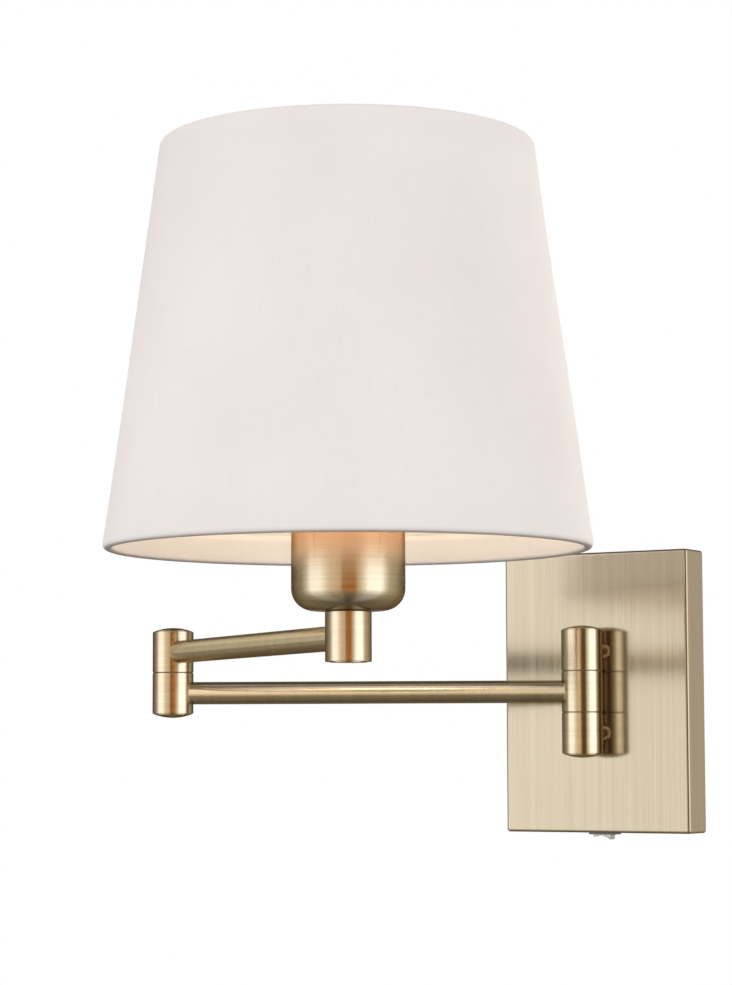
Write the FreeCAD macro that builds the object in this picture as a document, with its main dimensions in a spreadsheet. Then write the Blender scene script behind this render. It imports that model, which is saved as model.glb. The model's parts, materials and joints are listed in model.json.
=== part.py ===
import FreeCAD, Part
import math
import os
import re

import Sketcher

# Swing arm wall sconce, in millimetres, +Z up. The origin is the centre of the back of the wall
# plate, which is also the wall's surface, and the front of the plate faces -Y. Angles are degrees
# seen from above.
DIMS = [
    # wall plate: a shallow pressed tray, open at the back
    ("plate_width", 95.0),
    ("plate_height", 130.0),
    ("plate_depth", 17.0),
    ("plate_wall", 1.2),
    ("plate_round", 1.5),
    # wall bracket inside the tray, with the hook and the two screws that hold the tray on it
    ("bracket_thick", 2.0),
    ("bracket_gap", 1.2),
    ("slot_spacing", 60.0),
    ("slot_width", 5.0),
    ("slot_length", 14.0),
    ("entry_radius", 8.0),
    ("entry_x", 24.0),
    ("entry_z", 38.0),
    ("grommet_wall", 2.0),
    ("grommet_lip", 1.2),
    ("grommet_brim", 1.6),
    ("flange_width", 40.0),
    ("flange_reach", 12.0),
    ("hook_thick", 1.2),
    ("hook_play", 0.3),
    ("hook_margin", 4.0),
    ("hook_setback", 2.5),
    ("tab_width", 14.0),
    ("cover_screw_x", 30.0),
    ("cover_screw_radius", 1.5),
    ("cover_head_radius", 2.9),
    ("cover_screw_length", 8.0),
    ("cover_screw_play", 0.15),
    ("cover_drive_radius", 0.9),
    ("cover_drive_depth", 0.8),
    # connections inside the tray
    ("terminal_x", -22.0),
    ("terminal_z", 44.0),
    ("terminal_pitch", 8.0),
    ("terminal_depth", 11.0),
    ("terminal_height", 16.0),
    ("terminal_bore", 2.4),
    ("terminal_wall", 0.8),
    ("terminal_margin", 1.5),
    ("clamp_screw_radius", 1.0),
    ("clamp_screw_length", 2.4),
    ("clamp_head_radius", 2.0),
    ("clamp_head_height", 1.4),
    ("earth_x", 24.0),
    ("earth_z", -34.0),
    ("earth_screw_radius", 2.0),
    ("earth_head_radius", 3.6),
    ("earth_head_height", 2.4),
    ("earth_washer_radius", 4.4),
    ("earth_washer_thick", 1.0),
    ("wire_radius", 1.5),
    ("wire_bend", 3.0),
    # rocker switch in the tray's bottom wall
    ("switch_length", 12.6),
    ("switch_breadth", 8.0),
    ("switch_lip", 0.9),
    ("switch_body_length", 11.2),
    ("switch_body_breadth", 6.6),
    ("switch_body_depth", 13.0),
    ("switch_wall", 0.55),
    ("switch_floor", 2.0),
    ("switch_play", 0.1),
    ("rocker_length", 8.8),
    ("rocker_drop", 3.8),
    ("rocker_dip", 1.1),
    ("rocker_tilt", 8.0),
    ("rocker_side_gap", 0.3),
    ("rocker_pin_radius", 0.6),
    ("blade_thick", 0.8),
    ("blade_width", 3.0),
    ("blade_length", 5.0),
    # hinges: knuckles stacked on hollow tubes that carry the wire
    ("pivot_standoff", 13.0),
    ("knuckle_radius", 9.5),
    ("knuckle_pitch", 19.0),
    ("knuckle_edge", 0.2),
    ("seam", 0.3),
    ("seam_inset", 0.5),
    ("pin_radius", 5.0),
    ("pin_bore", 3.5),
    ("pin_clear", 0.05),
    ("recess_radius", 7.7),
    ("recess_depth", 4.2),
    ("nut_thick", 2.4),
    ("nut_flats", 12.4),
    ("dome_radius", 8.7),
    ("dome_rise", 1.9),
    ("dome_foot", 0.3),
    ("spigot_depth", 1.2),
    ("spigot_gap", 0.15),
    ("neck_radius", 5.2),
    ("neck_bore", 3.0),
    ("neck_stud_radius", 4.5),
    ("neck_stud_reach", 5.0),
    ("neck_nut_thick", 2.8),
    ("neck_washer_thick", 0.8),
    ("neck_washer_wide", 3.2),
    # arms
    ("arm_length", 190.0),
    ("arm_radius", 5.2),
    ("arm_bore", 3.9),
    ("base_angle", 27.5),
    ("elbow_angle", 60.0),
    ("base_angle_least", 12.0),
    ("base_angle_most", 90.0),
    ("elbow_angle_least", 52.0),
    ("elbow_angle_most", 180.0),
    ("window_margin", 30.0),
    ("window_height", 5.4),
    # column and cup at the end of the upper arm
    ("column_radius", 9.5),
    ("column_below", 10.0),
    ("column_above", 10.3),
    ("nipple_radius", 5.0),
    ("nipple_bore", 3.5),
    ("nipple_above", 8.0),
    ("plug_thick", 1.4),
    ("cup_seam", 0.4),
    ("cup_seam_inset", 1.1),
    ("cup_radius", 23.25),
    ("cup_wall", 1.0),
    ("cup_round", 9.0),
    ("cup_height", 50.0),
    # lampholder and bulb
    ("holder_radius", 17.0),
    ("holder_wall", 1.6),
    ("holder_floor", 3.0),
    ("holder_bevel", 3.0),
    ("holder_collar_radius", 19.7),
    ("holder_collar_drop", 20.0),
    ("holder_above_cup", 9.0),
    ("holder_mouth", 2.4),
    ("holder_mouth_depth", 8.0),
    ("core_rise", 6.0),
    ("core_height", 14.0),
    ("core_bore", 2.2),
    ("core_play", 0.1),
    ("shell_radius", 13.75),
    ("shell_thick", 0.4),
    ("shell_height", 24.0),
    ("contact_radius", 4.0),
    ("contact_height", 3.0),
    ("bulb_tip_radius", 4.6),
    ("bulb_tip_height", 2.0),
    ("bulb_cap_foot", 6.0),
    ("bulb_cap_bevel", 4.0),
    ("bulb_cap_radius", 13.1),
    ("bulb_cap_height", 22.0),
    ("bulb_radius", 30.0),
    ("bulb_neck_radius", 13.2),
    ("bulb_height", 103.0),
    ("bulb_glass", 0.9),
    # shade: wire frame, cloth turned over the two rings, and a liner
    ("fitter_play", 0.3),
    ("fitter_overhang", 4.25),
    ("fitter_thick", 1.6),
    ("ring_nut_radius", 26.0),
    ("ring_nut_height", 6.5),
    ("spoke_radius", 1.4),
    ("ring_wire_radius", 1.4),
    ("shade_radius_low", 100.0),
    ("shade_radius_top", 77.0),
    ("shade_height", 167.5),
    ("shade_overlap", 25.6),
    ("cloth", 0.7),
    ("hem_depth", 5.0),
    ("hem_play", 0.3),
    ("notch_gap", 0.4),
    ("liner_gap", 0.12),
    ("liner_margin", 1.0),
    ("liner_thick", 0.4),
]

# Places and sizes that follow from the driving dimensions.
DERIVED = {
    "tray_top": "(plate_height / 2 - plate_wall)",
    "bracket_half": "(plate_width / 2 - plate_wall - bracket_gap)",
    "bracket_reach": "(plate_height / 2 - plate_wall - bracket_gap)",
    "flange_top": "(tray_top - hook_thick - hook_play - bracket_thick / 2)",
    "lip_top": "(tray_top - hook_thick - hook_play)",
    "tray_mid": "(plate_depth / 2)",
    "switch_cavity_length": "(switch_body_length - 2 * switch_wall)",
    "switch_cavity_breadth": "(switch_body_breadth - 2 * switch_wall)",
    "rocker_axis_z": "(plate_wall - plate_height / 2)",
    "pivot_y": "(-plate_depth - pivot_standoff)",
    "elbow_x": "(-arm_length * cos(base_angle))",
    "elbow_y": "(pivot_y - arm_length * sin(base_angle))",
    "upper_turn": "(base_angle - elbow_angle)",
    "column_x": "(elbow_x + arm_length * cos(upper_turn))",
    "column_y": "(elbow_y + arm_length * sin(upper_turn))",
    "half_knuckle": "(knuckle_pitch / 2 - seam / 2)",
    "upper_low": "(knuckle_pitch / 2 + seam / 2)",
    "stack_top": "(knuckle_pitch * 3 / 2)",
    "elbow_low": "(-knuckle_pitch / 2)",
    "hole_radius": "(pin_radius + pin_clear)",
    "spigot_radius": "(recess_radius - spigot_gap)",
    "plug_low": "(column_low - dome_foot)",
    "column_low": "(knuckle_pitch - column_below)",
    "column_top": "(knuckle_pitch + column_above)",
    "cup_low": "(column_top + cup_seam)",
    "cup_top": "(cup_low + cup_height)",
    "holder_low": "(cup_low + cup_wall)",
    "holder_top": "(cup_top + holder_above_cup)",
    "collar_low": "(holder_top - holder_collar_drop)",
    "core_low": "(holder_low + holder_floor + core_rise)",
    "core_top": "(core_low + core_height)",
    "shell_top": "(core_top + shell_height)",
    "bulb_low": "(core_top + contact_height / 2)",
    "bulb_cap_low": "(bulb_low + bulb_tip_height)",
    "bulb_cap_top": "(bulb_cap_low + bulb_cap_height)",
    "bulb_centre": "(bulb_low + bulb_height - bulb_radius)",
    "fitter_hole": "(holder_collar_radius + fitter_play)",
    "fitter_radius": "(cup_radius + fitter_overhang)",
    "fitter_top": "(cup_top + fitter_thick)",
    "shade_low": "(cup_top - shade_overlap)",
    "shade_top": "(shade_low + shade_height)",
    "shade_slope": "((shade_radius_low - shade_radius_top) / shade_height)",
    "hem_width": "(2 * ring_wire_radius + 2 * cloth + hem_play)",
    "ring_rise": "(cloth + ring_wire_radius + hem_play / 2)",
    "low_ring_radius": "(shade_radius_low - shade_slope * ring_rise - hem_width / 2)",
    "low_ring_z": "(shade_low + ring_rise)",
    "top_ring_radius": "(shade_radius_top + shade_slope * ring_rise - hem_width / 2)",
    "top_ring_z": "(shade_top - ring_rise)",
}

# Frames that the sub-parts are drawn in: place and turn about +Z.
FRAMES = {
    "wall": ("0", "0", "0", "0"),
    "pivot": ("0", "pivot_y", "0", "0"),
    "lower": ("0", "pivot_y", "0", "180 + base_angle"),
    "elbow_back": ("elbow_x", "elbow_y", "0", "base_angle"),
    "upper": ("elbow_x", "elbow_y", "0", "upper_turn"),
    "column": ("column_x", "column_y", "0", "0"),
    "column_back": ("column_x", "column_y", "0", "180 + upper_turn"),
}

doc = FreeCAD.newDocument("SwingArmSconce")
sheet = doc.addObject("Spreadsheet::Sheet", "Dims")
for row, (alias, value) in enumerate(DIMS, 1):
    sheet.set(f"A{row}", alias)
    sheet.set(f"B{row}", str(value))
    sheet.setAlias(f"B{row}", alias)
doc.recompute()

ALIASES = {alias for alias, _ in DIMS}
SIZE = {alias: float(getattr(sheet, alias)) for alias in ALIASES}
DOWN = FreeCAD.Rotation(FreeCAD.Vector(1, 0, 0), 180)
TO_FRONT = FreeCAD.Rotation(FreeCAD.Vector(1, 0, 0), 90)
TO_X = FreeCAD.Rotation(FreeCAD.Vector(0, 1, 0), 90)
subparts = []


def bound(text):
    """The expression that reads the sheet, from one written with the names above."""

    def name(match):
        word = match.group(0)
        if word in ALIASES:
            return "Dims." + word
        return bound(DERIVED[word]) if word in DERIVED else word

    return re.sub(r"[A-Za-z_]\w*", name, text)


def bind(obj, **values):
    """Binds properties to the sheet: Radius="arm_radius" or Base_x="elbow_x"."""
    for prop, text in values.items():
        path = f"Placement.Base.{prop[-1]}" if prop.startswith("Base_") else prop
        obj.setExpression(path, bound(text))
    return obj


def subpart(obj, label, frame="wall"):
    """Names a finished piece and puts it in its frame."""
    obj.Label = label
    x, y, z, turn = FRAMES[frame]
    obj.Placement = FreeCAD.Placement(FreeCAD.Vector(), FreeCAD.Rotation(FreeCAD.Vector(0, 0, 1), 1))
    bind(obj, Base_x=x, Base_y=y, Base_z=z)
    obj.setExpression("Placement.Rotation.Angle", bound(turn))
    subparts.append(obj)
    return obj


# Sketches and PartDesign features


def new_body(name):
    body = doc.addObject("PartDesign::Body", name)
    body.AllowCompound = True
    return body


def new_sketch(body, plane, offset=None):
    sketch = body.newObject("Sketcher::SketchObject", body.Name + "_sketch")
    face = next(f for f in body.Origin.OriginFeatures if f.Role == plane)
    sketch.AttachmentSupport = [(face, "")]
    sketch.MapMode = "FlatFace"
    if offset:
        sketch.setExpression("AttachmentOffset.Base.z", bound(offset))
    return sketch


def fix_point(sketch, geometry, point, x, y):
    """Ties one point of a sketch to the sheet."""
    for kind, text in (("DistanceX", x), ("DistanceY", y)):
        index = sketch.addConstraint(Sketcher.Constraint(kind, -1, 1, geometry, point, 1.0))
        sketch.setExpression(f"Constraints[{index}]", bound(text))


def outline(sketch, corners):
    """A closed outline of straight lines through corners given as expressions."""
    first, count = sketch.GeometryCount, len(corners)
    turn = math.tau / count
    spots = [FreeCAD.Vector(9 * math.cos(k * turn), 9 * math.sin(k * turn), 0) for k in range(count)]
    for k in range(count):
        sketch.addGeometry(Part.LineSegment(spots[k], spots[(k + 1) % count]), False)
    for k in range(count):
        ends = (first + k, 2, first + (k + 1) % count, 1)
        sketch.addConstraint(Sketcher.Constraint("Coincident", *ends))
    for k, (x, y) in enumerate(corners):
        fix_point(sketch, first + k, 1, x, y)


def circle(sketch, x, y, radius):
    index = sketch.addGeometry(Part.Circle(FreeCAD.Vector(), FreeCAD.Vector(0, 0, 1), 2.0), False)
    fix_point(sketch, index, 3, x, y)
    size = sketch.addConstraint(Sketcher.Constraint("Radius", index, 2.0))
    sketch.setExpression(f"Constraints[{size}]", bound(radius))


def rectangle(sketch, x_low, y_low, x_high, y_high):
    outline(sketch, [(x_low, y_low), (x_high, y_low), (x_high, y_high), (x_low, y_high)])


def pad(body, sketch, length):
    feature = body.newObject("PartDesign::Pad", body.Name + "_pad")
    feature.Profile = sketch
    feature.setExpression("Length", bound(length))
    doc.recompute()
    return feature


def pocket(body, sketch, length, along_normal):
    """Cuts a sketch away, and makes sure that something was cut."""
    before = body.Shape.Volume
    feature = body.newObject("PartDesign::Pocket", body.Name + "_pocket")
    feature.Profile = sketch
    feature.setExpression("Length", bound(length))
    feature.Reversed = along_normal
    doc.recompute()
    if body.Shape.Volume > before - 1e-3:
        raise RuntimeError(f"{feature.Name} cuts nothing")
    return feature


def revolve(body, sketch):
    feature = body.newObject("PartDesign::Revolution", body.Name + "_turn")
    feature.Profile = sketch
    feature.ReferenceAxis = (sketch, ["V_Axis"])
    feature.Angle = 360
    doc.recompute()
    return feature


def round_edges(body, wanted, radius):
    """Fillets the edges of the body so far for which wanted(edge) is true."""
    base = body.Tip
    names = [f"Edge{k}" for k, edge in enumerate(base.Shape.Edges, 1) if wanted(edge)]
    if not names:
        raise RuntimeError(f"{body.Name} has no edge to round")
    fillet = body.newObject("PartDesign::Fillet", body.Name + "_fillet")
    fillet.Base = (base, names)
    fillet.setExpression("Radius", bound(radius))
    doc.recompute()
    return fillet


def turned(name, corners):
    """A body of revolution about its own Z axis, from its half section (radius, height)."""
    body = new_body(name)
    sketch = new_sketch(body, "XZ_Plane")
    outline(sketch, corners)
    revolve(body, sketch)
    return body


def ring(name, inner, outer, low, top):
    return turned(name, [(inner, low), (outer, low), (outer, top), (inner, top)])


def hexagon_nut(name, low, thick, flats, hole):
    """A hexagon nut with its axis on Z."""
    body = new_body(name)
    sketch = new_sketch(body, "XY_Plane", low)
    wide, narrow = f"({flats} / sqrt(3))", f"({flats} / sqrt(3) / 2)"
    half = f"({flats} / 2)"
    corners = [
        (wide, "0"), (narrow, half), ("-" + narrow, half),
        ("-" + wide, "0"), ("-" + narrow, "-" + half), (narrow, "-" + half),
    ]
    outline(sketch, corners)
    circle(sketch, "0", "0", hole)
    pad(body, sketch, thick)
    return body


# Primitives and booleans


def cylinder(radius, height, x="0", y="0", z="0", turn=None, sector=None):
    """A cylinder from a point along Z, or along the way that turn points."""
    shape = doc.addObject("Part::Cylinder", "Cylinder")
    shape.Placement = FreeCAD.Placement(FreeCAD.Vector(), turn or FreeCAD.Rotation())
    bind(shape, Radius=radius, Height=height, Base_x=x, Base_y=y, Base_z=z)
    if sector:
        shape.setExpression("Angle", bound(sector))
    return shape


def box(x_low, y_low, z_low, x_size, y_size, z_size):
    shape = doc.addObject("Part::Box", "Box")
    bind(shape, Length=x_size, Width=y_size, Height=z_size, Base_x=x_low, Base_y=y_low, Base_z=z_low)
    return shape


def fused(shapes):
    fuse = doc.addObject("Part::MultiFuse", "Fuse")
    fuse.Shapes = shapes
    return fuse


def without(base, tools):
    cut = doc.addObject("Part::Cut", "Cut")
    cut.Base = base
    cut.Tool = tools[0] if len(tools) == 1 else fused(tools)
    return cut


def common(shapes):
    overlap = doc.addObject("Part::MultiCommon", "Common")
    overlap.Shapes = shapes
    return overlap


def group(shapes):
    compound = doc.addObject("Part::Compound", "Group")
    compound.Links = shapes
    return compound


def dome_cap():
    """A shallow dome over a short foot, with a spigot below that fits a knuckle's recess."""
    rise = "(dome_rise - dome_foot)"
    ball_radius = f"((dome_radius ^ 2 + {rise} ^ 2) / (2 * {rise}))"
    ball = doc.addObject("Part::Sphere", "Ball")
    bind(ball, Radius=ball_radius, Base_z=f"dome_rise - {ball_radius}")
    dome = common([ball, cylinder("dome_radius", "dome_rise")])
    spigot = cylinder("spigot_radius", "spigot_depth + dome_foot", z="-spigot_depth")
    return fused([dome, spigot])


def moved(shape, x="0", y="0", z="0", turn=None):
    """Places a piece that is then one member of a group."""
    shape.Placement = FreeCAD.Placement(FreeCAD.Vector(), turn or FreeCAD.Rotation())
    return bind(shape, Base_x=x, Base_y=y, Base_z=z)


def bent_tube(label, points, frame):
    """A round wire along straight runs joined by tangent arcs, through points in the frame."""
    radius, bend = SIZE["wire_radius"], SIZE["wire_bend"]
    spots = [FreeCAD.Vector(*p) for p in points]
    edges, here = [], spots[0]
    for corner, after in zip(spots[1:-1], spots[2:]):
        way_in = (corner - here).normalize()
        way_out = (after - corner).normalize()
        turn = way_in.getAngle(way_out)
        reach = bend * math.tan(turn / 2)
        start, end = corner - way_in * reach, corner + way_out * reach
        inward = (way_out - way_in).normalize()
        middle = corner + inward * (bend / math.cos(turn / 2) - bend)
        edges.append(Part.LineSegment(here, start).toShape())
        edges.append(Part.Arc(start, middle, end).toShape())
        here = end
    edges.append(Part.LineSegment(here, spots[-1]).toShape())
    path = Part.Wire(edges)
    section = Part.Wire(Part.makeCircle(radius, spots[0], spots[1] - spots[0]))
    solid = path.makePipeShell([section], True, False)
    wanted = math.pi * radius**2 * path.Length
    if abs(solid.Volume - wanted) > 0.01 * wanted:
        raise RuntimeError(f"{label} has a volume of {solid.Volume:.1f}, not {wanted:.1f}")
    feature = doc.addObject("Part::Feature", "Wire")
    feature.Shape = solid
    return subpart(feature, label, frame)


# Wall plate and what is inside it


def make_backplate():
    body = new_body("Backplate")
    sketch = new_sketch(body, "XZ_Plane")
    rectangle(sketch, "-plate_width / 2", "-plate_height / 2", "plate_width / 2", "plate_height / 2")
    pad(body, sketch, "plate_depth")
    round_edges(body, lambda edge: edge.BoundBox.YMin < -1e-3, "plate_round")
    sketch = new_sketch(body, "XZ_Plane")
    half = "(plate_width / 2 - plate_wall)"
    rectangle(sketch, "-" + half, "-tray_top", half, "tray_top")
    pocket(body, sketch, "plate_depth - plate_wall", True)
    sketch = new_sketch(body, "XZ_Plane")
    for sign in ("", "-"):
        circle(sketch, "0", sign + "knuckle_pitch", "neck_stud_radius + pin_clear")
    pocket(body, sketch, "plate_depth + 1", True)
    sketch = new_sketch(body, "XY_Plane")
    for sign in ("", "-"):
        circle(sketch, sign + "cover_screw_x", "-tray_mid", "cover_screw_radius + cover_screw_play")
    half_length = "(switch_body_length / 2 + switch_play)"
    half_breadth = "(switch_body_breadth / 2 + switch_play)"
    rectangle(
        sketch,
        "-" + half_length, f"-tray_mid - {half_breadth}",
        half_length, f"-tray_mid + {half_breadth}",
    )
    pocket(body, sketch, "plate_height", False)
    sinks = [screw_cone(sign + "cover_screw_x", "cover_screw_play") for sign in ("", "-")]
    subpart(without(body, sinks), "backplate")


def screw_cone(x, gap):
    """The countersunk head of a cover screw, or with a gap the sink that it lies in."""
    cone = doc.addObject("Part::Cone", "Cone")
    drop = "(cover_head_radius - cover_screw_radius)"
    bind(
        cone,
        Radius1=f"cover_head_radius + {gap}", Radius2=f"cover_screw_radius + {gap}", Height=drop,
        Base_x=x, Base_y="-tray_mid", Base_z="-plate_height / 2",
    )
    return cone


def make_wall_bracket():
    """A pressed plate: slots for the wall screws, cable entry, hook flange, and two screw tabs."""
    body = new_body("WallBracket")
    sketch = new_sketch(body, "XZ_Plane")
    rectangle(sketch, "-bracket_half", "-bracket_reach", "bracket_half", "flange_top")
    circle(sketch, "entry_x", "entry_z", "entry_radius")
    circle(sketch, "earth_x", "earth_z", "earth_screw_radius + pin_clear")
    pad(body, sketch, "bracket_thick")
    flange = box(
        "-flange_width / 2", "-flange_reach", "flange_top - bracket_thick",
        "flange_width", "flange_reach", "bracket_thick",
    )
    lip = box(
        "-flange_width / 2", "-flange_reach", "flange_top - bracket_thick",
        "flange_width", "bracket_thick", "lip_top - flange_top + bracket_thick",
    )
    tabs, holes = [], []
    for sign in ("", "-"):
        middle = f"{sign}cover_screw_x"
        tabs.append(
            box(f"{middle} - tab_width / 2", "-flange_reach", "-tray_top",
                "tab_width", "flange_reach", "bracket_thick")
        )
        holes.append(
            cylinder("cover_screw_radius + cover_screw_play", "3 * bracket_thick", middle, "-tray_mid",
                     "-tray_top - bracket_thick")
        )
    webs = [
        box(f"{sign}cover_screw_x - tab_width / 2", "-bracket_thick", "-tray_top",
            "tab_width", "bracket_thick", "bracket_thick + bracket_gap")
        for sign in ("", "-")
    ]
    slots = [slot(sign + "slot_spacing / 2") for sign in ("", "-")]
    subpart(without(fused([body, flange, lip] + tabs + webs), holes + slots), "wall_bracket")


def slot(middle):
    """A tool for one level slot, round at both ends, through the bracket."""
    straight = "(slot_length - slot_width)"
    tool = [
        box(f"{middle} - {straight} / 2", "-2 * bracket_thick", "-slot_width / 2",
            straight, "4 * bracket_thick", "slot_width")
    ]
    for side in ("+", "-"):
        tool.append(
            cylinder("slot_width / 2", "4 * bracket_thick", f"{middle} {side} {straight} / 2",
                     "2 * bracket_thick", "0", TO_FRONT)
        )
    return fused(tool)


def make_tray_fittings():
    """Hook strip welded under the tray's top, and the two countersunk screws in its bottom."""
    leg_y = "(bracket_thick + hook_play - flange_reach)"
    start, width = "-flange_width / 2 - hook_margin", "flange_width + 2 * hook_margin"
    strip = box(start, leg_y, "tray_top - hook_thick",
                width, "flange_reach - bracket_thick - hook_play - hook_setback", "hook_thick")
    leg = box(start, leg_y, "flange_top + hook_play / 2",
              width, "hook_thick", "tray_top - flange_top - hook_play / 2")
    subpart(fused([strip, leg]), "hook_strip")
    screws = []
    for sign in ("", "-"):
        head = screw_cone(sign + "cover_screw_x", "0")
        shank = cylinder("cover_screw_radius", "cover_screw_length", sign + "cover_screw_x",
                         "-tray_mid", "-plate_height / 2")
        drive = cylinder("cover_drive_radius", "cover_drive_depth", sign + "cover_screw_x",
                         "-tray_mid", "-plate_height / 2")
        screws.append(without(fused([head, shank]), [drive]))
    subpart(group(screws), "cover_screws")


def make_connections():
    """Cable grommet, terminal block with its clamps and screws, and the earth screw."""
    grommet = turned("Grommet", [
        ("entry_radius - grommet_wall", "-grommet_lip"),
        ("entry_radius + grommet_brim", "-grommet_lip"),
        ("entry_radius + grommet_brim", "-pin_clear"),
        ("entry_radius - pin_clear", "-pin_clear"),
        ("entry_radius - pin_clear", "bracket_thick - 2 * pin_clear"),
        ("entry_radius - grommet_wall", "bracket_thick - 2 * pin_clear"),
    ])
    moved(grommet, "entry_x", "-bracket_thick", "entry_z", FreeCAD.Rotation(FreeCAD.Vector(1, 0, 0), -90))
    subpart(group([grommet]), "cable_grommet")
    front = "(bracket_thick + terminal_depth)"
    low = "(terminal_z - terminal_height / 2)"
    block = box("terminal_x - 1.5 * terminal_pitch", "-" + front, low,
                "3 * terminal_pitch", "terminal_depth", "terminal_height")
    bores, clamps, screws = [], [], []
    for k in (-1, 0, 1):
        x = f"terminal_x + {k} * terminal_pitch"
        middle = "(bracket_thick + terminal_depth / 2)"
        bores.append(
            cylinder("terminal_bore + pin_clear", "terminal_height + 2", x, "-" + middle, f"{low} - 1")
        )
        bores.append(cylinder("terminal_bore", "terminal_depth / 2 + 1", x, "-" + middle,
                              "terminal_z", TO_FRONT))
        bore_radius = "(terminal_bore - terminal_wall)"
        clamp = cylinder("terminal_bore", "terminal_height - 2 * terminal_margin", x, "-" + middle,
                         f"{low} + terminal_margin")
        bore = cylinder(bore_radius, "terminal_height", x, "-" + middle, low)
        thread = cylinder("clamp_screw_radius + pin_clear", "terminal_depth", x, "-" + middle,
                          "terminal_z", TO_FRONT)
        clamps.append(without(clamp, [bore, thread]))
        screw = cylinder("clamp_screw_radius", "clamp_screw_length", x, f"-{middle} - {bore_radius}",
                         "terminal_z", TO_FRONT)
        head = cylinder("clamp_head_radius", "clamp_head_height", x,
                        f"-{middle} - {bore_radius} - clamp_screw_length + clamp_head_height / 2",
                        "terminal_z", TO_FRONT)
        screws.append(fused([screw, head]))
    subpart(without(block, bores), "terminal_block")
    subpart(group(clamps), "terminal_clamps")
    subpart(group(screws), "terminal_screws")
    shank = cylinder("earth_screw_radius", "bracket_thick + 2 * earth_washer_thick", "earth_x",
                     "-pin_clear", "earth_z", TO_FRONT)
    head = cylinder("earth_head_radius", "earth_head_height", "earth_x",
                    "-bracket_thick - earth_washer_thick", "earth_z", TO_FRONT)
    subpart(fused([shank, head]), "earth_screw")
    washer = cylinder("earth_washer_radius", "earth_washer_thick - pin_clear", "earth_x", "-bracket_thick",
                      "earth_z", TO_FRONT)
    hole = cylinder("earth_screw_radius + pin_clear", "2 * bracket_thick", "earth_x", "0", "earth_z",
                    TO_FRONT)
    subpart(without(washer, [hole]), "earth_washer")


def make_tray_wires():
    s = SIZE
    poles = [s["terminal_x"] + k * s["terminal_pitch"] for k in (1, 0, -1)]
    plane = -(s["bracket_thick"] + s["terminal_depth"] / 2)
    top = s["terminal_z"] - s["terminal_height"] / 2 + 1
    pivot_y = -(s["plate_depth"] + s["pivot_standoff"])
    level, clear = s["knuckle_pitch"], 2 * s["wire_radius"]
    end = s["window_height"] / 2 + 0.8
    bent_tube("feed_wire", [
        (poles[0], plane, top), (poles[0], plane, level), (0, plane, level),
        (0, pivot_y, level), (0, pivot_y, end),
    ], "wall")
    blade_x = s["switch_body_length"] / 4
    tail_top = s["plate_wall"] - s["plate_height"] / 2 + s["switch_body_depth"] + s["blade_length"]
    for label, pole, x, rise in (
        ("switch_wire_in", poles[2], -blade_x, 3 * clear),
        ("switch_wire_out", poles[1], blade_x, 5 * clear),
    ):
        bent_tube(label, [
            (pole, plane, top), (pole, plane, tail_top + rise),
            (x, -s["plate_depth"] / 2, tail_top + rise), (x, -s["plate_depth"] / 2, tail_top + 0.2),
        ], "wall")


def make_switch():
    """Rocker switch: housing with a lip under the tray, terminal blades, pin and rocker."""
    lip = box("-switch_length / 2", "-tray_mid - switch_breadth / 2", "-plate_height / 2 - switch_lip",
              "switch_length", "switch_breadth", "switch_lip")
    case = box("-switch_body_length / 2", "-tray_mid - switch_body_breadth / 2", "-plate_height / 2",
               "switch_body_length", "switch_body_breadth", "switch_body_depth + plate_wall")
    cavity = box("-switch_cavity_length / 2", "-tray_mid - switch_cavity_breadth / 2",
                 "-plate_height / 2 - 2 * switch_lip",
                 "switch_cavity_length", "switch_cavity_breadth",
                 "switch_body_depth + plate_wall + 2 * switch_lip - switch_floor")
    bore = cylinder("rocker_pin_radius", "2 * switch_breadth", "0", "-tray_mid + switch_breadth",
                    "rocker_axis_z", TO_FRONT)
    slots, blades = [], []
    for sign in ("", "-"):
        x = f"{sign}switch_body_length / 4"
        floor = "(rocker_axis_z + switch_body_depth - switch_floor)"
        front = "-tray_mid - blade_width / 2"
        blades.append(box(f"{x} - blade_thick / 2", front, f"{floor} - switch_floor",
                          "blade_thick", "blade_width", "blade_length + 2 * switch_floor"))
        slots.append(box(f"{x} - blade_thick / 2", front, f"{floor} - switch_floor / 2",
                         "blade_thick", "blade_width", "2 * switch_floor"))
    subpart(without(fused([lip, case]), [cavity, bore] + slots), "switch_housing")
    subpart(group(blades), "switch_blades")
    pin = cylinder("rocker_pin_radius", "switch_body_breadth", "0",
                   "-tray_mid + switch_body_breadth / 2", "rocker_axis_z", TO_FRONT)
    subpart(group([pin]), "rocker_pin")
    make_rocker()


def make_rocker():
    """A dished rocker on its pin, tilted to one side."""
    body = new_body("Rocker")
    half = "(rocker_length / 2)"
    sketch = new_sketch(body, "XZ_Plane", "rocker_side_gap - switch_cavity_breadth / 2")
    outline(sketch, [
        ("-" + half, "-rocker_drop"),
        ("-0.28 * rocker_length", "-rocker_drop + 0.75 * rocker_dip"),
        ("0", "-rocker_drop + rocker_dip"),
        ("0.28 * rocker_length", "-rocker_drop + 0.75 * rocker_dip"),
        (half, "-rocker_drop"),
        (half, "-rocker_drop / 3"),
        ("rocker_length / 5", "2.4 * rocker_pin_radius"),
        ("-rocker_length / 5", "2.4 * rocker_pin_radius"),
        ("-" + half, "-rocker_drop / 3"),
    ])
    circle(sketch, "0", "0", "rocker_pin_radius + pin_clear")
    pad(body, sketch, "switch_cavity_breadth - 2 * rocker_side_gap")
    moved(body, "0", "-tray_mid", "rocker_axis_z", FreeCAD.Rotation(FreeCAD.Vector(0, 1, 0), 1))
    body.setExpression("Placement.Rotation.Angle", bound("rocker_tilt"))
    subpart(group([body]), "switch_rocker")


# Hinges and arms


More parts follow.
